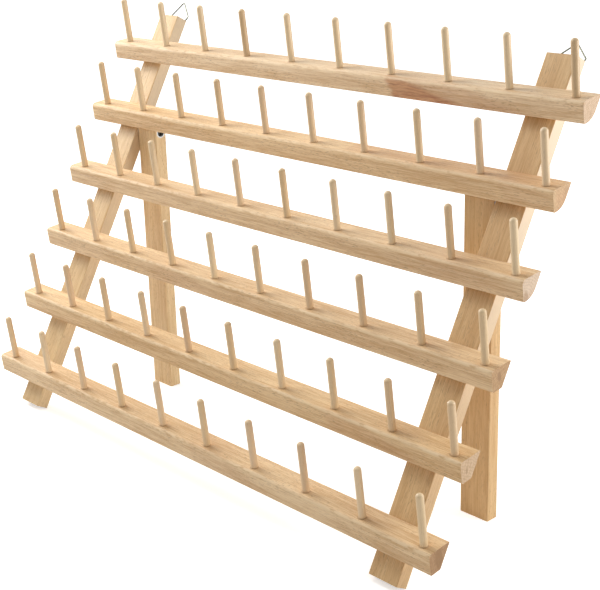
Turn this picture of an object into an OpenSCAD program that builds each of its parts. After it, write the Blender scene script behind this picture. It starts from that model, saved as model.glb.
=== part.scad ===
// Folding thread rack: six pegged rails on two leaning uprights, with two rear legs that
// swing out to prop it on a table and two wire loops that hang it on a wall.
// Millimetres. X runs along the rails, the pegs face -Y, +Z is up, the feet stand on Z = 0.

/* [Pegs] */
// Distance between neighbouring pegs on a rail
peg_pitch = 41; // [36:0.5:48]
// Pegs on each rail
peg_count = 10; // [6:1:12]
// Peg diameter
peg_d = 4.1; // [3:0.1:6.4]
// Height of a peg above its rail
peg_height = 29.7; // [20:0.1:45]
// Depth that a peg is glued into its rail
peg_seat = 6.5; // [4:0.1:7.5]
// Height of the rounded peg tip
peg_tip = 1.9; // [0.5:0.1:3]
// Distance from a rail's back edge to its peg centres
peg_inset = 10.6; // [8.5:0.1:11.5]
// Forward lean of the pegs from the line of the uprights, in degrees
peg_lean = 35.8; // [25:0.1:40]

/* [Rails] */
// Front to back depth of a rail's top face
rail_depth = 15.5; // [14.5:0.1:20]
// Thickness of a rail, along its pegs
rail_thick = 11.7; // [9:0.1:12]
// Distance between neighbouring rails, along the uprights
rail_spacing = 46.4; // [44:0.1:60]
// Rail end to the left of the first peg
rail_left_end = 12.4; // [6:0.1:20]
// Rail end to the right of the last peg
rail_right_end = 7.5; // [6:0.1:20]
// Rounding of the upper front edge of the three upper rails
upper_front_round = 2.6; // [0.2:0.1:3]
// Rounding of the upper front edge of the three lower rails
lower_front_round = 1.8; // [0.2:0.1:3]
// Rounding of the lower front edge
rail_lip_round = 0.8; // [0.2:0.1:1]
// Rounding of the lower back edge of the three upper rails
upper_back_round = 11; // [0.5:0.5:12]
// Rounding of the lower back edge of the three lower rails
lower_back_round = 1.6; // [0.5:0.1:7]

/* [Uprights] */
// Width of an upright, along the rails
upright_width = 19.2; // [16:0.1:26]
// Depth of an upright, front to back
upright_depth = 8.6; // [8.4:0.1:12]
// Distance from the first peg to the middle of the left upright
left_upright_in = 20.1; // [14:0.1:24]
// Distance from the last peg to the middle of the right upright
right_upright_in = 23.1; // [14:0.1:24]
// Upright above the back edge of the top rail
upright_above = 18.5; // [17:0.1:40]
// Upright below the back edge of the bottom rail
upright_below = 31.8; // [20:0.1:60]
// Backward lean of the uprights when the rack stands, in degrees
lean = 25.3; // [15:0.1:32]
// Rounding along the edges of the uprights and rear legs
stick_round = 0.6; // [0.1:0.1:1.5]

/* [Rear legs] */
// Width of a rear leg, along the rails
leg_width = 19.6; // [16:0.1:24]
// Depth of a rear leg, front to back
leg_depth = 8.4; // [7.2:0.1:8.5]
// Angle between an open rear leg and its upright, in degrees
leg_open = 29.2; // [20:0.1:40]
// Distance from the back edge of the second rail down to the leg pivots
pivot_drop = 16.6; // [15.5:0.1:24]
// Length of a leg above its pivot
leg_head = 12; // [9:0.1:13]
// Gap between a folded leg and the backs of the rails
leg_clear = 0.2; // [0.1:0.05:0.5]
// Gap left at the bevel that stops an open leg against the second rail
stop_gap = 0.05; // [0.02:0.01:0.2]

/* [Pivot screws] */
// Shank diameter of a pivot screw
pivot_d = 4; // [3:0.1:4.5]
// Running clearance around the shank in the leg
pivot_clear = 0.08; // [0.02:0.01:0.1]
// Head diameter of a pivot screw
pivot_head_d = 6.6; // [5:0.1:6.8]
// Depth that a pivot screw bites into the upright
pivot_bite = 13; // [8:0.5:15]
// Outer diameter of the spacing washer between leg and upright
washer_d = 7.4; // [6:0.1:7.6]
// Thickness of the spacing washer
washer_thick = 0.9; // [0.5:0.1:2]

/* [Rail screws] */
// Shank diameter of a rail screw
rail_screw_d = 3; // [2.5:0.1:3.5]
// Head diameter of a rail screw
rail_screw_head_d = 6; // [5:0.1:7]
// Length of a rail screw
rail_screw_length = 16; // [13:0.5:17]
// Distance from a rail's back edge down to its screws
rail_screw_drop = 8.8; // [7.5:0.1:9.5]

/* [Hanging loops] */
// Diameter of the loop wire
loop_wire = 0.9; // [0.8:0.1:1.6]
// Centre-line radius of the bends in the loop
loop_bend = 1.4; // [1:0.1:1.8]
// Height of a loop from its lower bar to the corner of its peak, before the bend
loop_height = 20.9; // [18:0.1:32]
// Distance that the peak is bent off the loop's middle, to the left
loop_peak_off = 2.5; // [0:0.1:4]
// Height of the loop's shoulders above its lower bar
loop_shoulder = 10.2; // [8:0.1:14]
// Width of a loop between its shoulders
loop_width = 18; // [15:0.5:22]
// Length of a loop's lower bar
loop_bar = 9.6; // [9:0.1:12]
// Gap between the lower bar and the back of the upright
loop_stand = 0.3; // [0.1:0.05:0.6]
// Running clearance of the lower bar in its staple
loop_clear = 0.08; // [0.02:0.01:0.1]
// Height of the loop's lower bar above the back edge of the top rail
loop_level = 12.2; // [8:0.1:14]
// Backward tilt of the left loop from its upright, in degrees
left_loop_tilt = 7; // [0:1:90]
// Backward tilt of the right loop from its upright, in degrees
right_loop_tilt = 24; // [0:1:90]
// Sideways slip of the left loop in its staple
left_loop_slip = -1.9; // [-3:0.1:3]
// Sideways slip of the right loop in its staple
right_loop_slip = -3; // [-3:0.1:3]
// Diameter of the staple wire
staple_wire = 1; // [0.8:0.1:1.4]
// Depth that a staple is driven into the upright
staple_bite = 6; // [4:0.1:7]

/* [Hidden] */
$fn = 64;

beech = "burlywood";
dowel_wood = "wheat";
steel = "silver";

// Rails are numbered from the top, and the legs pivot under the second one
rail_total = 6;
pivot_rail = 2;
// Steps in a rounded edge of a rail or stick, and in a peg tip
edge_steps = 6;
tip_steps = 8;
// A peg's glued end tapers by this much, on the radius
seat_taper = 0.15;
// Slack of a glued peg, a driven screw and a seated screw head in the wood, on the radius
glue_slack = 0.05;
thread_slack = 0.05;
head_slack = 0.12;
// Room left past the end of a dowel or a screw in its blind hole
hole_end_room = 0.4;
// Cuts reach this far past the wood that they go through
over = 1;
// Half the angle of a countersunk head
sink_angle = 41;
// Share of a screw's length that its point takes
point_share = 0.25;
// Cross recess in a screw head, as shares of the head's diameter
recess_width = 0.14;
recess_span = 0.62;
recess_depth = 0.3;
// Steps in a bend of the loop wire and sides of the wire
bend_steps = 5;
wire_sides = 12;
// The bent wire is this share of the lower bar's diameter, and runs this far into its ends
wire_share = 0.97;
bar_overlap = 0.3;

rail_length = (peg_count - 1) * peg_pitch + rail_left_end + rail_right_end;
first_peg_x = rail_left_end - rail_length / 2;
last_peg_x = first_peg_x + (peg_count - 1) * peg_pitch;
left_upright_x = first_peg_x + left_upright_in;
right_upright_x = last_peg_x - right_upright_in;
upright_top = upright_above;
upright_bottom = -(rail_total - 1) * rail_spacing - upright_below;
upright_length = upright_top - upright_bottom;

pivot_back = leg_depth / 2 + leg_clear;
pivot_level = -(pivot_rail - 1) * rail_spacing - pivot_drop;
pivot_bore_r = pivot_d / 2 + pivot_clear;

loop_back = upright_depth + loop_stand + loop_wire / 2;
loop_corners = [
    [-loop_bar / 2, 0],
    [-loop_width / 2, loop_shoulder],
    [-loop_peak_off, loop_height],
    [loop_width / 2, loop_shoulder],
    [loop_bar / 2, 0]
];
staple_bend = loop_wire / 2 + loop_clear + staple_wire / 2;

// The rack's own upright frame stands on the back edges of the two uprights' feet
stand_z = upright_depth * sin(lean) - upright_bottom * cos(lean);
pivot_z = stand_z + pivot_level * cos(lean) - pivot_back * sin(lean);
leg_tilt = leg_open - lean;
leg_below = (pivot_z - leg_depth / 2 * abs(sin(leg_tilt))) / cos(leg_tilt);

// The origin is in the middle of the depth, between the lowest peg tips and the farthest loop
peg_tilt = peg_lean - lean;
low_rail = -(rail_total - 1) * rail_spacing;
tip_y = low_rail * sin(lean) - peg_inset * cos(peg_tilt) - (peg_height - peg_tip) * sin(peg_tilt);
front_y = tip_y - sqrt(pow(peg_d / 2 * cos(peg_tilt), 2) + pow(peg_tip * sin(peg_tilt), 2));
far_tilt = max(left_loop_tilt, right_loop_tilt);
loop_foot_y = loop_level * sin(lean) + loop_back * cos(lean);
loop_peak = bend_centre(loop_corners[1], loop_corners[2], loop_corners[3], loop_bend)[1] + loop_bend;
loop_y = loop_foot_y + loop_peak * sin(lean + far_tilt);
leg_foot_y = pivot_level * sin(lean) + pivot_back * cos(lean)
    + leg_below * sin(leg_tilt) + leg_depth / 2 * cos(leg_tilt);
back_y = max(loop_y + loop_wire / 2, leg_foot_y);
stand_y = -(front_y + back_y) / 2;

// Places children of the rack's own frame: Z runs up the uprights, Y = 0 is their front plane
module rack_frame() {
    translate([0, stand_y, stand_z]) rotate([-lean, 0, 0]) children();
}

// Places children at the back upper edge of rail n, with Z along its pegs
module rail_frame(n) {
    rack_frame() translate([0, 0, -(n - 1) * rail_spacing]) rotate([peg_lean, 0, 0]) children();
}

// Middle of the round of radius r at the corner b between a and c
function bend_centre(a, b, c, r) =
    let (
        u = (a - b) / norm(a - b),
        v = (c - b) / norm(c - b)
    )
    b + (u + v) / norm(u + v) * r / sin(acos(u * v) / 2);

// Places along the round at the corner b between a and c, each a point and a direction
function bend_places(a, b, c, r, steps) =
    let (
        u = (a - b) / norm(a - b),
        v = (c - b) / norm(c - b),
        reach = r / tan(acos(u * v) / 2),
        centre = bend_centre(a, b, c, r),
        from = b + u * reach - centre,
        to = b + v * reach - centre,
        start = atan2(from[1], from[0]),
        turn = atan2(from[0] * to[1] - from[1] * to[0], from * to)
    )
    [for (i = [0:steps]) let (t = start + turn * i / steps)
        [centre + r * [cos(t), sin(t)], sign(turn) * [-sin(t), cos(t)]]];

// Outline with each corner of the list pts rounded by the radius at the same place in radii
function rounded(pts, radii) =
    let (n = len(pts))
    [for (i = [0:n - 1], p = bend_places(
        pts[(i + n - 1) % n], pts[i], pts[(i + 1) % n], radii[i], edge_steps
    )) p[0]];

// Square-cut stick with eased long edges, its middle on the Z axis, from Z = 0 up
module stick(width, depth, length) {
    w = width / 2;
    d = depth / 2;
    linear_extrude(height = length)
        polygon(rounded([[-w, -d], [w, -d], [w, d], [-w, d]], [for (i = [1:4]) stick_round]));
}

// Cut for a screw along -Z, with its head flush at Z = 0
module screw_hole(d, head_d, depth) {
    head_r = head_d / 2 + head_slack;
    translate([0, 0, -depth]) cylinder(d = d, h = depth + over);
    translate([0, 0, -head_r / tan(sink_angle)]) cylinder(r1 = 0, r2 = head_r, h = head_r / tan(sink_angle));
    cylinder(r = head_r, h = over);
}

// Countersunk screw along -Z, with its head flush at Z = 0 and a cross recess
module screw(d, head_d, length) {
    head_h = (head_d - d) / 2 / tan(sink_angle);
    point = length * point_share;
    difference() {
        rotate_extrude() polygon([
            [0, 0], [head_d / 2, 0], [d / 2, -head_h],
            [d / 2, point - length], [0, -length]
        ]);
        for (turn = [0, 90]) rotate([0, 0, turn])
            translate([-recess_span * head_d / 2, -recess_width * head_d / 2, -recess_depth * head_d])
                cube([recess_span * head_d, recess_width * head_d, recess_depth * head_d + over]);
    }
}

// Rail with its blind peg holes; its back face is cut to lie on the leaning uprights, and the
// rounding below it is limited by the width of the rail's underside
module rail(n, front_round, back_round) {
    back_in = rail_thick * tan(peg_lean);
    most_round = (rail_depth - back_in - rail_lip_round) * tan(45 + peg_lean / 2);
    outline = rounded(
        [[0, 0], [-rail_depth, 0], [-rail_depth, -rail_thick], [-back_in, -rail_thick]],
        [rail_lip_round / 2, front_round, rail_lip_round, min(back_round, most_round)]
    );
    difference() {
        rail_frame(n) translate([-rail_length / 2, 0, 0])
            rotate([90, 0, 90]) linear_extrude(height = rail_length) polygon(outline);
        rail_frame(n) for (i = [0:peg_count - 1])
            translate([first_peg_x + i * peg_pitch, -peg_inset, -peg_seat - hole_end_room])
                cylinder(r = peg_d / 2 + glue_slack, h = peg_seat + hole_end_room + over);
        for (x = [left_upright_x, right_upright_x])
            rail_screw_place(n, x) translate([0, 0, -rail_screw_length - hole_end_room])
                cylinder(r = rail_screw_d / 2 + thread_slack, h = rail_screw_length);
    }
}

// One row of dowel pegs with domed tips
module peg_row(n) {
    tip = [for (i = [1:tip_steps])
        [peg_d / 2 * cos(90 * i / tip_steps), peg_height - peg_tip + peg_tip * sin(90 * i / tip_steps)]];
    side = [
        [0, -peg_seat], [peg_d / 2 - seat_taper, -peg_seat],
        [peg_d / 2, 0], [peg_d / 2, peg_height - peg_tip]
    ];
    rail_frame(n) for (i = [0:peg_count - 1])
        translate([first_peg_x + i * peg_pitch, -peg_inset, 0]) rotate_extrude() polygon(concat(side, tip));
}

// Places children on the back of an upright, where rail n is screwed on from behind
module rail_screw_place(n, x) {
    rack_frame() translate([x, upright_depth, -(n - 1) * rail_spacing - rail_screw_drop])
        rotate([-90, 0, 0]) children();
}

// Places children at a leg's pivot, with Z running into the rack's middle from the upright's
// inner face; side is 1 for the left leg and -1 for the right one
module pivot_place(x, side) {
    rack_frame() translate([x + side * upright_width / 2, pivot_back, pivot_level])
        rotate([0, side * 90, 0]) children();
}

// Places children at a hanging loop's lower bar, behind the upright
module loop_place(x) {
    rack_frame() translate([x, loop_back, loop_level]) children();
}

module upright(x, side) {
    difference() {
        rack_frame() translate([x, upright_depth / 2, upright_bottom])
            stick(upright_width, upright_depth, upright_length);
        for (n = [1:rail_total]) rail_screw_place(n, x)
            screw_hole(rail_screw_d + 2 * thread_slack, rail_screw_head_d, upright_depth + over);
        pivot_place(x, side) translate([0, 0, -pivot_bite - hole_end_room])
            cylinder(r = pivot_d / 2 + thread_slack, h = pivot_bite + hole_end_room + over);
        loop_place(x) staple_legs(staple_wire / 2 + thread_slack, hole_end_room);
    }
}

// Leg with a bevelled head: the bevel lies on the back of the second rail when the leg is open
module rear_leg(x, side) {
    leg_x = side * (washer_thick + leg_width / 2);
    difference() {
        pivot_place(x, side) rotate([0, -side * 90, 0]) rotate([leg_open, 0, 0])
            translate([leg_x, 0, -leg_below]) stick(leg_width, leg_depth, leg_below + leg_head);
        rack_frame() translate([x + side * upright_width / 2 + leg_x - leg_width, 0, pivot_level])
            translate([0, stop_gap - leg_head, -leg_depth])
                cube([2 * leg_width, leg_head, 2 * leg_head + leg_depth]);
        pivot_place(x, side) cylinder(r = pivot_bore_r, h = washer_thick + leg_width + over);
        pivot_place(x, side) translate([0, 0, washer_thick + leg_width])
            screw_hole(pivot_d + 2 * pivot_clear, pivot_head_d, leg_width / 2);
    }
}

module pivot_screw(x, side) {
    pivot_place(x, side) translate([0, 0, washer_thick + leg_width])
        screw(pivot_d, pivot_head_d, pivot_bite + washer_thick + leg_width);
}

module pivot_washer(x, side) {
    pivot_place(x, side) difference() {
        cylinder(d = washer_d, h = washer_thick);
        translate([0, 0, -over]) cylinder(r = pivot_bore_r, h = washer_thick + 2 * over);
    }
}

module rail_screws(x) {
    for (n = [1:rail_total]) rail_screw_place(n, x) screw(rail_screw_d, rail_screw_head_d, rail_screw_length);
}

// Round wire in the XZ plane through a list of places
module wire_through(places, r) {
    m = len(places);
    points = [for (p = places, k = [0:wire_sides - 1])
        let (a = 360 * k / wire_sides)
        [p[0][0] - r * cos(a) * p[1][1], r * sin(a), p[0][1] + r * cos(a) * p[1][0]]];
    sides = [for (j = [0:m - 2], k = [0:wire_sides - 1])
        let (next = (k + 1) % wire_sides)
        [j * wire_sides + k, j * wire_sides + next, (j + 1) * wire_sides + next, (j + 1) * wire_sides + k]];
    first = [for (k = [wire_sides - 1:-1:0]) k];
    last = [for (k = [0:wire_sides - 1]) (m - 1) * wire_sides + k];
    polyhedron(points = points, faces = concat(sides, [first, last]));
}

// Kite-shaped loop: one bent wire whose straight lower bar turns in the staple
module hanging_loop(x, tilt, slip) {
    bar_turn = atan2(loop_shoulder, (loop_width - loop_bar) / 2);
    bar_half = loop_bar / 2 - loop_bend * tan(bar_turn / 2);
    bends = [for (i = [0:4]) each bend_places(
        i == 0 ? [0, 0] : loop_corners[i - 1], loop_corners[i], i == 4 ? [0, 0] : loop_corners[i + 1],
        loop_bend, bend_steps
    )];
    ends = [for (side = [-1, 1]) [[side * (bar_half - bar_overlap), 0], [-1, 0]]];
    loop_place(x) rotate([-tilt, 0, 0]) translate([slip, 0, 0]) {
        wire_through(concat([ends[0]], bends, [ends[1]]), wire_share * loop_wire / 2);
        translate([-bar_half, 0, 0]) rotate([0, 90, 0]) cylinder(d = loop_wire, h = 2 * bar_half);
    }
}

// Legs of the staple above and below the loop's lower bar, driven into the upright
module staple_legs(r, extra) {
    for (z = [-1, 1]) translate([0, 0, z * staple_bend]) rotate([90, 0, 0])
        cylinder(r = r, h = loop_back - upright_depth + staple_bite + extra);
}

module loop_staple(x) {
    loop_place(x) {
        staple_legs(staple_wire / 2, 0);
        rotate([0, -90, 0]) rotate_extrude(angle = 180) translate([staple_bend, 0])
            circle(d = staple_wire);
    }
}

module left_upright() { color(beech) upright(left_upright_x, 1); }
module right_upright() { color(beech) upright(right_upright_x, -1); }
module left_rear_leg() { color(beech) rear_leg(left_upright_x, 1); }
module right_rear_leg() { color(beech) rear_leg(right_upright_x, -1); }
module rail_1() { color(beech) rail(1, upper_front_round, upper_back_round); }
module rail_2() { color(beech) rail(2, upper_front_round, upper_back_round); }
module rail_3() { color(beech) rail(3, upper_front_round, upper_back_round); }
module rail_4() { color(beech) rail(4, lower_front_round, lower_back_round); }
module rail_5() { color(beech) rail(5, lower_front_round, lower_back_round); }
module rail_6() { color(beech) rail(6, lower_front_round, lower_back_round); }
module pegs_rail_1() { color(dowel_wood) peg_row(1); }
module pegs_rail_2() { color(dowel_wood) peg_row(2); }
module pegs_rail_3() { color(dowel_wood) peg_row(3); }
module pegs_rail_4() { color(dowel_wood) peg_row(4); }
module pegs_rail_5() { color(dowel_wood) peg_row(5); }
module pegs_rail_6() { color(dowel_wood) peg_row(6); }
module left_pivot_screw() { color(steel) pivot_screw(left_upright_x, 1); }
module right_pivot_screw() { color(steel) pivot_screw(right_upright_x, -1); }
module left_pivot_washer() { color(steel) pivot_washer(left_upright_x, 1); }
module right_pivot_washer() { color(steel) pivot_washer(right_upright_x, -1); }
module left_rail_screws() { color(steel) rail_screws(left_upright_x); }
module right_rail_screws() { color(steel) rail_screws(right_upright_x); }
module left_hanging_loop() { color(steel) hanging_loop(left_upright_x, left_loop_tilt, left_loop_slip); }
module right_hanging_loop() { color(steel) hanging_loop(right_upright_x, right_loop_tilt, right_loop_slip); }
module left_loop_staple() { color(steel) loop_staple(left_upright_x); }
module right_loop_staple() { color(steel) loop_staple(right_upright_x); }

left_upright();
right_upright();
left_rear_leg();
right_rear_leg();
rail_1();
rail_2();
rail_3();
rail_4();
rail_5();
rail_6();
pegs_rail_1();
pegs_rail_2();
pegs_rail_3();
pegs_rail_4();
pegs_rail_5();
pegs_rail_6();
left_pivot_screw();
right_pivot_screw();
left_pivot_washer();
right_pivot_washer();
left_rail_screws();
right_rail_screws();
left_hanging_loop();
right_hanging_loop();
left_loop_staple();
right_loop_staple();
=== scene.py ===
import math
import random
from collections import namedtuple

import bpy
from mathutils import Matrix, Vector


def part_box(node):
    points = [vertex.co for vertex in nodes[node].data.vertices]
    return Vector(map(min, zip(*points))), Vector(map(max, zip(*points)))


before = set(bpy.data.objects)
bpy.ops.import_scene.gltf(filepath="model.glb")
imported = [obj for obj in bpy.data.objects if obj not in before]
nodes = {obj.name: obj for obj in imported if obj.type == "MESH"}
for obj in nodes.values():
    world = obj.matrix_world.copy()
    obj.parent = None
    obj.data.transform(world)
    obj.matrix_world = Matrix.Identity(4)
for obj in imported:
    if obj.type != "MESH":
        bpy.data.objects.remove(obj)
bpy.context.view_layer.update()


# The six rails.
# Each is a beech stick planed to a trapezium section, with its long edges eased by hand.
# Ten blind holes are drilled in its top for the pegs, and it is screwed on from behind.

MM = 0.001
BEECH_CREAM = (0.880, 0.660, 0.402)
BEECH_TAN = (0.652, 0.417, 0.202)
BEECH_BROWN = (0.340, 0.185, 0.080)
BEECH_RED = (0.330, 0.130, 0.055)
HEART_AND_SHADE_DARK = (0.400, 0.140, 0.055)
HEART_AND_SHADE_LIGHT = (0.660, 0.340, 0.160)

# The rails and their pegs lean this far forward of upright; all lengths are millimetres
RAIL_TURN = math.radians(10.5)
RAIL_DEPTH = 15.5
RAIL_TOP_DEPTH = 11.0
PEG_INSET = 10.6
PEG_RADIUS = 2.05
PEG_PITCH = 41.0
FIRST_PEG = -182.05

# The growth rings' width on the faces, and in the end grain
RING_WIDTH = 2.6
END_RING_WIDTH = 1.5
# How far apart the stretches of log lie that the rails are cut from
RAIL_STEP = 471.0
# How calm the grain is: near 0 the streaks are strong, at 0.5 they hardly show
RAIL_CALM = 0.28


def link(tree, source, target):
    """Joins an output socket to an input socket."""
    tree.links.new(source, target)


def fill(tree, socket, value):
    """Sets a socket to a number or a colour, or joins another socket to it."""
    if isinstance(value, (int, float)):
        socket.default_value = value
    elif isinstance(value, tuple):
        socket.default_value = (*value, 1.0)
    else:
        link(tree, value, socket)


def reckon(tree, operation, *terms):
    """One sum of numbers or sockets; returns its result."""
    node = tree.nodes.new("ShaderNodeMath")
    node.operation = operation
    for socket, term in zip(node.inputs, terms):
        fill(tree, socket, term)
    return node.outputs[0]


def plus(tree, first, second):
    """Two numbers or sockets added."""
    return reckon(tree, "ADD", first, second)


def times(tree, first, second):
    """Two numbers or sockets multiplied."""
    return reckon(tree, "MULTIPLY", first, second)


def distance(tree, across, down):
    """How far a point lies from the middle, given its two coordinates."""
    squares = (reckon(tree, "POWER", term, 2.0) for term in (across, down))
    return reckon(tree, "SQRT", plus(tree, *squares))


def noise(tree, vector, scale, detail=2.0, roughness=0.5, distortion=0.0):
    """Noise from 0 to 1 over a vector."""
    node = tree.nodes.new("ShaderNodeTexNoise")
    node.inputs["Scale"].default_value = scale
    node.inputs["Detail"].default_value = detail
    node.inputs["Roughness"].default_value = roughness
    node.inputs["Distortion"].default_value = distortion
    link(tree, vector, node.inputs["Vector"])
    return node.outputs["Fac"]


def ramp(tree, factor, *stops):
    """Colours or greys spread over a factor; each stop is (place, colour)."""
    node = tree.nodes.new("ShaderNodeValToRGB")
    bands = node.color_ramp.elements
    while len(bands) < len(stops):
        bands.new(0.5)
    for band, (place, colour) in zip(bands, stops):
        band.position = place
        colour = (colour,) * 3 if isinstance(colour, (int, float)) else colour
        band.color = (*colour, 1.0)
    link(tree, factor, node.inputs["Fac"])
    return node.outputs["Color"]


def fade(tree, value, start, end, low=0.0, high=1.0):
    """A grey that goes from low to high while a value goes from start to end."""
    node = tree.nodes.new("ShaderNodeMapRange")
    node.interpolation_type = "SMOOTHSTEP"
    for socket, number in zip(list(node.inputs)[1:5], (start, end, low, high)):
        socket.default_value = number
    link(tree, value, node.inputs["Value"])
    return node.outputs["Result"]


def mix(tree, factor, under, over, blend="MIX"):
    """One colour laid over another, as strongly as the factor says."""
    node = tree.nodes.new("ShaderNodeMix")
    node.data_type = "RGBA"
    node.blend_type = blend
    fill(tree, node.inputs[0], factor)
    fill(tree, node.inputs[6], under)
    fill(tree, node.inputs[7], over)
    return node.outputs[2]


def joined(tree, along, across, through):
    """Three coordinates as one vector."""
    node = tree.nodes.new("ShaderNodeCombineXYZ")
    for socket, value in zip(node.inputs, (along, across, through)):
        fill(tree, socket, value)
    return node.outputs[0]


def grain_noise(tree, grain, along, across, detail, roughness=0.5, distortion=0.0):
    """Noise drawn out along the grain: so many changes a millimetre along it, and across it."""
    node = tree.nodes.new("ShaderNodeVectorMath")
    node.operation = "MULTIPLY"
    node.inputs[1].default_value = (along, across, across)
    link(tree, grain, node.inputs[0])
    return noise(tree, node.outputs[0], 1.0, detail, roughness, distortion)


def facing(tree, direction):
    """How squarely a face looks along a direction, either way, from 0 to 1."""
    node = tree.nodes.new("ShaderNodeVectorMath")
    node.operation = "DOT_PRODUCT"
    node.inputs[1].default_value = direction
    link(tree, tree.nodes.new("ShaderNodeTexCoord").outputs["Normal"], node.inputs[0])
    return reckon(tree, "ABSOLUTE", node.outputs["Value"])


def square_to(tree, direction):
    """1 on the faces that look along a direction, either way, and 0 on the others."""
    return fade(tree, facing(tree, direction), 0.80, 0.95)


def corner_of(name, turn):
    """A piece's right, back, top corner in its own directions, in millimetres."""
    spin = Matrix.Rotation(-turn, 3, "X")
    points = [spin @ vertex.co for vertex in nodes[name].data.vertices]
    return tuple(max(point[axis] for point in points) / MM for axis in range(3))


def own_place(tree, turn, corner):
    """Millimetres from a piece's corner in its own directions, as X, Y and Z."""
    square = tree.nodes.new("ShaderNodeMapping")
    square.vector_type = "TEXTURE"
    square.inputs["Rotation"].default_value = (turn, 0.0, 0.0)
    square.inputs["Scale"].default_value = (MM, MM, MM)
    link(tree, tree.nodes.new("ShaderNodeTexCoord").outputs["Object"], square.inputs["Vector"])
    moved = tree.nodes.new("ShaderNodeVectorMath")
    moved.operation = "SUBTRACT"
    moved.inputs[1].default_value = corner
    link(tree, square.outputs[0], moved.inputs[0])
    split = tree.nodes.new("ShaderNodeSeparateXYZ")
    link(tree, moved.outputs[0], split.inputs[0])
    return split.outputs["X"], split.outputs["Y"], split.outputs["Z"]


def blank_finish(name):
    """A new material, with its nodes and its shader."""
    material = bpy.data.materials.new(name)
    material.use_nodes = True
    tree = material.node_tree
    return material, tree, tree.nodes["Principled BSDF"]


def relief(tree, shader, height, depth):
    """Fine unevenness from a grey, as deep as given in millimetres."""
    bump = tree.nodes.new("ShaderNodeBump")
    bump.inputs["Strength"].default_value = 0.3
    bump.inputs["Distance"].default_value = depth * MM
    link(tree, height, bump.inputs["Height"])
    link(tree, bump.outputs["Normal"], shader.inputs["Normal"])


def finish_with(material, *names):
    """Gives pieces one material."""
    for name in names:
        mesh = nodes[name].data
        mesh.materials.clear()
        mesh.materials.append(material)


# How a board looks: how far its pith lies across and behind it, how strongly its rings show,
# how reddish it is, and the tints of its faces and of its sawn ends
Board = namedtuple("Board", "pith rings warm tint end_tint")


def beech(name, turn, corner, runs, shift, calm, board):
    """Sanded beech: growth rings round a pith, streaks, fibres and short dark rays.

    The stick runs along X or Z, and shift says how far along the log it was cut.
    """
    material, tree, shader = blank_finish(name)
    shader.inputs["Specular IOR Level"].default_value = 0.50
    place = own_place(tree, turn, corner)
    if runs == "X":
        along, across, through = place
        end_axis = (1.0, 0.0, 0.0)
    else:
        across, through, along = place
        end_axis = (0.0, -math.sin(turn), math.cos(turn))
    grain = joined(tree, plus(tree, along, shift), across, through)

    # Growth rings: the distance from the pith, which wanders along the stick
    wander = grain_noise(tree, grain, 0.011, 0.03, 2.0)
    slope = times(tree, along, 0.03)
    to_pith = plus(tree, plus(tree, across, board.pith[0]), slope)
    from_pith = plus(tree, through, board.pith[1])
    radius = plus(tree, distance(tree, to_pith, from_pith), times(tree, wander, 11.0))
    ring = reckon(tree, "FRACT", reckon(tree, "DIVIDE", radius, RING_WIDTH))
    late_wood = ramp(tree, ring, (0.0, 0.55), (0.10, 0.0), (0.55, 0.15), (0.88, 1.0), (1.0, 0.55))

    # Broad changes of tone, long streaks, fine fibres and the short rays that mark beech
    broad = grain_noise(tree, grain, 0.008, 0.07, 3.0)
    streak = grain_noise(tree, grain, 0.014, 0.50, 4.0, 0.62)
    fibre = grain_noise(tree, grain, 0.07, 2.3, 4.0, 0.7)
    ray = grain_noise(tree, grain, 0.34, 2.6, 1.0)
    crowd = grain_noise(tree, grain, 0.03, 0.15, 1.0)
    crowd = fade(tree, crowd, 0.35, 0.65, 0.25, 1.0)
    ray = times(tree, fade(tree, ray, 0.58, 0.70), crowd)

    tone = mix(tree, board.rings, fade(tree, broad, 0.30, 0.70), late_wood)
    tone = mix(tree, 0.46, tone, fade(tree, streak, 0.36, 0.64))
    tone = mix(tree, 0.42, tone, fade(tree, fibre, 0.38, 0.62))
    colour = ramp(tree, tone, (0.5 - calm, BEECH_CREAM), (0.5 + calm, BEECH_TAN))
    colour = mix(tree, 1.0, colour, board.tint, "MULTIPLY")
    colour = mix(tree, fade(tree, broad, 0.40, 0.75, 0.0, board.warm), colour, BEECH_RED)
    colour = mix(tree, times(tree, ray, 0.60), colour, BEECH_BROWN)

    # End grain: darker, with the rings cut across and fine rays that point at the pith
    bearing = times(tree, reckon(tree, "ARCTAN2", to_pith, from_pith), 130.0)
    spoke = noise(tree, joined(tree, bearing, times(tree, radius, 0.25), 0.0), 1.0)
    cut = mix(tree, fade(tree, spoke, 0.35, 0.65, 0.0, 0.7), BEECH_CREAM, BEECH_TAN)
    wavy = plus(tree, radius, times(tree, streak, 3.0))
    rim = reckon(tree, "FRACT", reckon(tree, "DIVIDE", wavy, END_RING_WIDTH))
    rim = ramp(tree, rim, (0.0, 0.22), (0.25, 0.0), (0.70, 0.05), (1.0, 0.30))
    cut = mix(tree, rim, cut, BEECH_BROWN)
    cut = mix(tree, 1.0, cut, board.end_tint, "MULTIPLY")
    colour = mix(tree, square_to(tree, end_axis), colour, cut)

    link(tree, colour, shader.inputs["Base Color"])
    link(tree, fade(tree, fibre, 0.2, 0.8, 0.44, 0.60), shader.inputs["Roughness"])
    relief(tree, shader, reckon(tree, "SUBTRACT", fibre, ray), 0.10)
    return material, place, colour


# Reddish patches on a rail, heartwood but for rail 2's second one, which is painted shade:
# where each starts, where it ends along the top edge, and how strongly it shows on the front and
# on the top
HeartwoodAndShade = namedtuple("HeartwoodAndShade", "start end on_front on_top")
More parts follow.
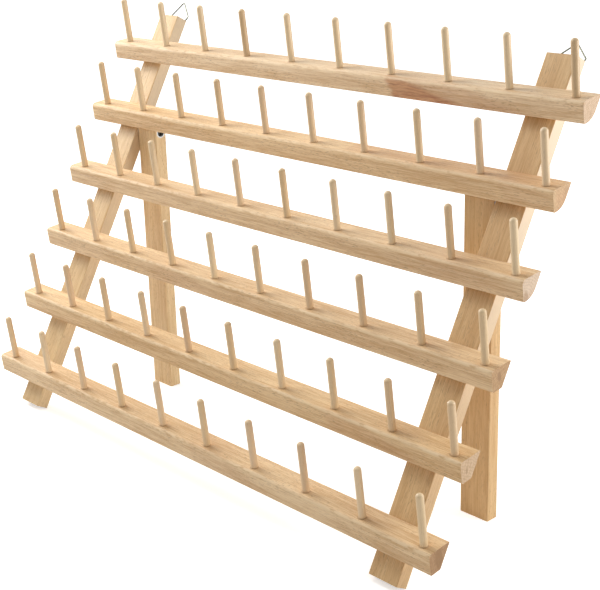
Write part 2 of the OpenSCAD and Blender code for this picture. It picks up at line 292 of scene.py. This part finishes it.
# The knot in a rail's ends: its place from the back edge and from the top, reach and darkness
Knot = namedtuple("Knot", "across down reach share")
RAILS = (
    (
        # Rail 1's whiter tint is partly the board's own tone, partly painted sheen for the whitish
        # gloss on its top
        Board((60.0, 14.0), 0.30, 0.05, (1.12, 1.16, 1.27), (0.76, 0.72, 0.75)),
        (HeartwoodAndShade(63.0, 68.0, 0.85, 0.1), HeartwoodAndShade(76.0, 112.0, 0.30, 0.1)),
        Knot(-9.0, -8.0, 0.8, 0.3),
    ),
    (
        Board((48.0, 40.0), 0.36, 0.10, (1.10, 1.08, 1.05), (0.74, 0.69, 0.58)),
        # Rail 2's second patch darkens only its top, over most of its length: painted shade
        (HeartwoodAndShade(160.0, 176.0, 0.15, 0.2), HeartwoodAndShade(50.0, 260.0, 0.0, 0.26)),
        Knot(-4.0, -3.0, 1.6, 0.3),
    ),
    (
        Board((22.0, 30.0), 0.48, 0.12, (1.08, 1.08, 1.10), (0.86, 0.90, 1.10)),
        (HeartwoodAndShade(128.0, 160.0, 0.12, 0.1),),
        Knot(-13.0, -10.0, 2.2, 0.5),
    ),
    (
        Board((70.0, 22.0), 0.34, 0.06, (1.07, 1.06, 1.06), (0.64, 0.53, 0.43)),
        (HeartwoodAndShade(-80.0, -50.0, 0.12, 0.1),),
        Knot(-9.5, -5.0, 1.5, 0.8),
    ),
    (
        Board((35.0, 55.0), 0.30, 0.08, (1.04, 1.01, 0.94), (0.83, 0.80, 0.84)),
        (HeartwoodAndShade(100.0, 125.0, 0.20, 0.0),),
        Knot(-11.0, -6.0, 1.0, 0.5),
    ),
    (
        Board((52.0, 20.0), 0.30, 0.12, (1.04, 1.02, 0.99), (0.58, 0.47, 0.40)),
        (HeartwoodAndShade(10.0, 40.0, 0.12, 0.1),),
        Knot(-8.5, -5.0, 3.4, 0.75),
    ),
)
for number, (board, heart_and_shade_patches, knot) in enumerate(RAILS, 1):
    rail = f"rail_{number}"
    _, back, top = corner_of(rail, RAIL_TURN)
    material, (x, y, z), colour = beech(
        f"beech_{rail}", RAIL_TURN, (0.0, back, top), "X", RAIL_STEP * number, RAIL_CALM, board)
    tree = material.node_tree
    here = joined(tree, x, y, z)
    ragged = grain_noise(tree, here, 0.05, 0.45, 3.0)

    # Each patch starts almost squarely, and tapers off along the lower edge
    slanted = plus(tree, x, times(tree, z, 0.5))
    steep = plus(tree, x, times(tree, reckon(tree, "SUBTRACT", z, ragged), 4.0))
    vein = grain_noise(tree, joined(tree, slanted, y, z), 0.06, 0.9, 4.0, 0.7, 0.8)
    veined = ramp(tree, vein, (0.40, HEART_AND_SHADE_DARK), (0.58, HEART_AND_SHADE_LIGHT))
    starting = plus(tree, slanted, times(tree, ragged, 6.0))
    for patch in heart_and_shade_patches:
        shown = fade(tree, starting, patch.start, patch.start + 5.0)
        shown = times(tree, shown, fade(tree, steep, patch.end - 6.0, patch.end + 9.0, 1.0, 0.0))
        share = fade(tree, y, -RAIL_TOP_DEPTH, -RAIL_DEPTH, patch.on_top, patch.on_front)
        colour = mix(tree, times(tree, shown, share), colour, veined)

    # The knot is longer than wide, and only the ends show it
    down = times(tree, reckon(tree, "SUBTRACT", z, knot.down), 0.5)
    around = distance(tree, reckon(tree, "SUBTRACT", y, knot.across), down)
    around = plus(tree, around, times(tree, vein, 1.6))
    dark = fade(tree, around, knot.reach * 0.6 + 0.8, knot.reach + 1.0, knot.share, 0.0)
    dark = times(tree, dark, square_to(tree, (1.0, 0.0, 0.0)))
    colour = mix(tree, dark, colour, BEECH_BROWN)

    # Painted shade: a thin darker ring where each peg enters the top
    from_first = reckon(tree, "SUBTRACT", x, FIRST_PEG)
    to_peg = reckon(tree, "WRAP", from_first, PEG_PITCH / 2, -PEG_PITCH / 2)
    to_peg = distance(tree, to_peg, plus(tree, y, PEG_INSET))
    peg_foot_shade = fade(tree, to_peg, PEG_RADIUS + 0.1, PEG_RADIUS + 0.7, 0.35, 0.0)
    peg_foot_shade = times(tree, peg_foot_shade, fade(tree, z, -1.0, -0.2))
    colour = mix(tree, peg_foot_shade, colour, BEECH_BROWN)

    # Along the front edge, a ragged paler line with darker nicks: partly sanded wood, partly
    # painted highlight and shade on the eased edge
    edge = distance(tree, plus(tree, y, RAIL_DEPTH), z)
    worn = times(tree, fade(tree, edge, 1.0, 2.2, 0.8, 0.0), fade(tree, ragged, 0.3, 0.6))
    nick = grain_noise(tree, here, 0.16, 0.50, 2.0)
    colour = mix(tree, worn, colour, ramp(tree, nick, (0.40, BEECH_TAN), (0.54, BEECH_CREAM)))
    link(tree, colour, tree.nodes["Principled BSDF"].inputs["Base Color"])
    finish_with(material, rail)


# The pegs.
# Sixty dowels with rounded tips, glued into blind holes in the rails.
# They are cut from many lengths of dowel, so their tones differ.

DOWEL_CREAM = (0.930, 0.730, 0.460)
DOWEL_TAN = (0.800, 0.570, 0.315)
DOWEL_RED = (0.740, 0.470, 0.295)
DOWEL_BROWN = (0.420, 0.250, 0.125)
PEGS_ON_A_RAIL = 10
# On the top rail, counted from the left and from 0
DARK_PEGS = (3, 9)
# How far apart along the dowel each row's pegs are cut
DOWEL_STEP = 90.0
pick = random.Random(11)
for number in range(1, len(RAILS) + 1):
    material, tree, shader = blank_finish(f"dowels_{number}")
    shader.inputs["Specular IOR Level"].default_value = 0.6
    _, back, top = corner_of(f"rail_{number}", RAIL_TURN)
    x, y, z = own_place(tree, RAIL_TURN, (0.0, back, top))

    # One tone for each peg, in steps along the row; the top row is paler but for two dark ones
    tones = []
    for peg in range(PEGS_ON_A_RAIL):
        cream, red = pick.uniform(0.0, 1.0), pick.uniform(-0.1, 0.4)
        if number == 1:
            cream, red = (cream + 2.0) / 3.0, red / 3.0
        plain = Vector(DOWEL_TAN).lerp(Vector(DOWEL_CREAM), cream)
        mixed = plain.lerp(Vector(DOWEL_RED), max(red, 0.0))
        if number == 1 and peg in DARK_PEGS:
            mixed = Vector(DOWEL_TAN).lerp(Vector(DOWEL_BROWN), 0.3)
        tones.append((peg / PEGS_ON_A_RAIL, tuple(mixed)))
    step = reckon(tree, "SUBTRACT", x, FIRST_PEG - PEG_PITCH / 2)
    step = reckon(tree, "DIVIDE", step, PEGS_ON_A_RAIL * PEG_PITCH)
    colour = ramp(tree, step, *tones)
    colour.node.color_ramp.interpolation = "CONSTANT"

    # Fine straight fibres, a few darker streaks, painted shade at the foot of each peg and a
    # painted highlight on its tip
    grain = joined(tree, plus(tree, z, DOWEL_STEP * number), x, y)
    fibre = grain_noise(tree, grain, 0.06, 2.8, 4.0, 0.7)
    streak = grain_noise(tree, grain, 0.030, 0.9, 3.0, 0.6)
    pore = grain_noise(tree, grain, 0.40, 3.6, 1.0)
    tip = facing(tree, (0.0, -math.sin(RAIL_TURN), math.cos(RAIL_TURN)))
    colour = mix(tree, fade(tree, streak, 0.45, 0.75, 0.0, 0.5), colour, DOWEL_TAN)
    colour = mix(tree, fade(tree, fibre, 0.45, 0.80, 0.0, 0.35), colour, DOWEL_BROWN)
    colour = mix(tree, fade(tree, pore, 0.64, 0.74, 0.0, 0.35), colour, DOWEL_BROWN)
    # Painted shade: darker at the foot of the peg, where it meets the rail
    colour = mix(tree, fade(tree, z, 0.1, 0.9, 0.5, 0.0), colour, DOWEL_BROWN)
    # Painted highlight: the faces of the tip that look up are made paler
    colour = mix(tree, fade(tree, tip, 0.35, 0.80, 0.0, 0.45), colour, DOWEL_CREAM)
    link(tree, colour, shader.inputs["Base Color"])
    link(tree, fade(tree, fibre, 0.2, 0.8, 0.30, 0.46), shader.inputs["Roughness"])
    relief(tree, shader, reckon(tree, "SUBTRACT", fibre, fade(tree, pore, 0.6, 0.75)), 0.07)
    finish_with(material, f"pegs_rail_{number}")


# The two uprights.
# Flat beech sticks, square cut at both ends, that lean back and stand on their lower back edges.
# They carry the rails in front, the legs on their inner sides and the loops behind.

UPRIGHT_TURN = math.radians(-25.3)
SAWN = (0.80, 0.78, 0.76)
POST_CALM = 0.45
POST_RINGS = 0.16
# The pale colour of the painted highlight on the uprights' narrow sides
SIDE_HIGHLIGHT = (0.800, 0.655, 0.480)
# Heights from the upright's top: the painted highlight on the narrow sides is least below the
# first, most above the second
SIDE_HIGHLIGHT_FROM = -260.0
SIDE_HIGHLIGHT_FULL = -60.0
SIDE_HIGHLIGHT_LEAST = 0.15
for name, shift, side_highlight_most, board in (
    ("left_upright", 40.0, 0.6, Board((30.0, 70.0), POST_RINGS, 0.02, (0.93, 0.91, 0.82), SAWN)),
    # The right upright's warmer tint, with less blue, is painted warm shade from light bounced off
    # the wood around it
    ("right_upright", 900.0, 0.9, Board((64.0, 34.0), POST_RINGS, 0.10, (0.96, 0.89, 0.75), SAWN)),
):
    corner = corner_of(name, UPRIGHT_TURN)
    material, (_, _, up), colour = beech(
        f"beech_{name}", UPRIGHT_TURN, corner, "Z", shift, POST_CALM, board)
    tree = material.node_tree

    # Painted highlight: both narrow sides are made paler, more so towards the top
    share = fade(tree, up, SIDE_HIGHLIGHT_FROM, SIDE_HIGHLIGHT_FULL, SIDE_HIGHLIGHT_LEAST, side_highlight_most)
    share = times(tree, square_to(tree, (1.0, 0.0, 0.0)), share)
    colour = mix(tree, share, colour, SIDE_HIGHLIGHT)
    link(tree, colour, tree.nodes["Principled BSDF"].inputs["Base Color"])
    finish_with(material, name)


# The hanging loops and their staples.
# Thin plain wire bent to a kite, and one staple behind each upright that holds its lower bar.

WIRE = (0.205, 0.205, 0.150)


def plated(name, colour, roughness):
    """Thin plating with a faint mottle."""
    material, tree, shader = blank_finish(name)
    shader.inputs["Metallic"].default_value = 1.0
    mottle = noise(tree, tree.nodes.new("ShaderNodeTexCoord").outputs["Object"], 900.0, 3.0)
    dull = tuple(share * 0.75 for share in colour)
    link(tree, ramp(tree, mottle, (0.3, dull), (0.7, colour)), shader.inputs["Base Color"])
    worn = fade(tree, mottle, 0.3, 0.7, roughness, roughness + 0.14)
    link(tree, worn, shader.inputs["Roughness"])
    return material


wire = plated("drawn_wire", WIRE, 0.34)
finish_with(wire, "left_hanging_loop", "right_hanging_loop")
finish_with(wire, "left_loop_staple", "right_loop_staple")


# The screws and washers.
# Zinc-plated countersunk wood screws: six through the back of each upright,
# and one through each leg, with a washer between the leg and its upright.

ZINC = (0.62, 0.60, 0.56)
ZINC_ROUGHNESS = 0.28
zinc = plated("zinc_plate", ZINC, ZINC_ROUGHNESS)
finish_with(zinc, "left_rail_screws", "right_rail_screws")
finish_with(zinc, "left_pivot_washer", "right_pivot_washer")

# Painted shade: the recess of the pivot screws is coloured near black, as far from their middle as
# this
RECESS_SHADE = (0.012, 0.011, 0.010)
RECESS_REACH = 2.3
RECESS_EDGE = 2.8
recess_shaded_zinc = plated("zinc_with_dark_recess", ZINC, ZINC_ROUGHNESS)
tree = recess_shaded_zinc.node_tree
base_colour = tree.nodes["Principled BSDF"].inputs["Base Color"]
low, high = (Vector(point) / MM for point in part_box("left_pivot_screw"))
_, y, z = own_place(tree, 0.0, (low + high) / 2)
# Painted shade in the drive recess of the pivot screws
recess_shade = fade(tree, distance(tree, y, z), RECESS_REACH, RECESS_EDGE, 0.96, 0.0)
bright = base_colour.links[0].from_socket
link(tree, mix(tree, recess_shade, bright, RECESS_SHADE), base_colour)
finish_with(recess_shaded_zinc, "left_pivot_screw", "right_pivot_screw")


# The two rear legs.
# Beech sticks as wide as the uprights, bevelled at the head where they stop on the second rail.
# Each turns on a screw through its side.

LEG_TURN = math.radians(3.9)
for name, shift, board in (
    ("left_rear_leg", 1500.0, Board((50.0, 40.0), POST_RINGS, 0.08, (1.02, 1.03, 0.98), SAWN)),
    # The right leg's warmer tint, with less blue, is painted warm shade from light bounced off the
    # wood around it
    ("right_rear_leg", 2100.0, Board((28.0, 60.0), POST_RINGS, 0.12, (0.95, 0.87, 0.72), SAWN)),
):
    corner = corner_of(name, LEG_TURN)
    material, _, _ = beech(f"beech_{name}", LEG_TURN, corner, "Z", shift, POST_CALM, board)
    finish_with(material, name)


# The table top and the room.
# A plain white sweep that shows as white and keeps the rack's soft shadow, in a white room.

FLOOR_WIDTH = 60.0
# Metres from the middle of the rack, and how strongly the floor glows there
GLOW_FROM, GLOW_FULL = 0.2, 0.8
GLOW_LEAST, GLOW_MOST = 0.55, 1.0
# The walls show as plain white, but light the rack by this share of it
ROOM_LIGHT = 0.38

bpy.ops.mesh.primitive_plane_add(size=FLOOR_WIDTH, location=(0, 0, 0))
floor = bpy.context.object
floor.name = "table_top"
white, tree, shader = blank_finish("white_sweep")
shader.inputs["Base Color"].default_value = (0.9, 0.9, 0.9, 1.0)
shader.inputs["Roughness"].default_value = 0.9
shader.inputs["Emission Color"].default_value = (1.0, 1.0, 1.0, 1.0)
# The glow is only for the camera, and gives the rack no light
seen = tree.nodes.new("ShaderNodeLightPath").outputs["Is Camera Ray"]
ground = tree.nodes.new("ShaderNodeSeparateXYZ")
link(tree, tree.nodes.new("ShaderNodeTexCoord").outputs["Object"], ground.inputs[0])
from_rack = distance(tree, ground.outputs["X"], ground.outputs["Y"])
glow = fade(tree, from_rack, GLOW_FROM, GLOW_FULL, GLOW_LEAST, GLOW_MOST)
link(tree, times(tree, seen, glow), shader.inputs["Emission Strength"])
floor.data.materials.append(white)

room = bpy.data.worlds.new("white_room")
bpy.context.scene.world = room
room.use_nodes = True
tree = room.node_tree
walls = tree.nodes["Background"]
walls.inputs["Color"].default_value = (1.0, 1.0, 1.0, 1.0)
paths = tree.nodes.new("ShaderNodeLightPath").outputs
shows = reckon(tree, "MAXIMUM", paths["Is Camera Ray"], paths["Is Glossy Ray"])
shows = reckon(tree, "MAXIMUM", shows, paths["Is Transmission Ray"])
link(tree, reckon(tree, "MAXIMUM", shows, ROOM_LIGHT), walls.inputs["Strength"])


# The lamps.
# Three soft square lamps: one above the left end of the rack, one far to its left,
# and one behind it on the right.

LAMP_SIZE = 0.30


def soft_lamp(name, place, aim, power):
    """A square studio lamp that faces a point."""
    data = bpy.data.lights.new(name, "AREA")
    data.size = LAMP_SIZE
    data.energy = power
    lamp = bpy.data.objects.new(name, data)
    bpy.context.scene.collection.objects.link(lamp)
    lamp.location = place
    lamp.rotation_euler = (Vector(aim) - Vector(place)).to_track_quat("-Z", "Y").to_euler()


soft_lamp("overhead", (-0.30, -0.15, 0.75), (-0.15, 0.0, 0.18), 2.4)
soft_lamp("left_side", (-0.75, -0.10, 0.40), (0.0, 0.0, 0.14), 3.2)
soft_lamp("right_side", (0.50, 0.30, 0.25), (0.15, 0.0, 0.15), 1.7)


# The camera.
# It stands to the right of the rack, in front of it, and looks down on it a little.

CAMERA_PLACE = (0.54156, -0.49575, 0.31365)
CAMERA_TURNS = (75.177, -1.363, 46.184)
camera_data = bpy.data.cameras.new("camera")
camera_data.lens = 75.47
camera_data.sensor_width = 36.0
camera_data.shift_x = -0.0068
camera_data.shift_y = -0.0425
camera = bpy.data.objects.new("camera", camera_data)
bpy.context.scene.collection.objects.link(camera)
camera.location = CAMERA_PLACE
camera.rotation_euler = tuple(math.radians(turn) for turn in CAMERA_TURNS)
bpy.context.scene.camera = camera
bpy.context.scene.view_settings.view_transform = "Standard"
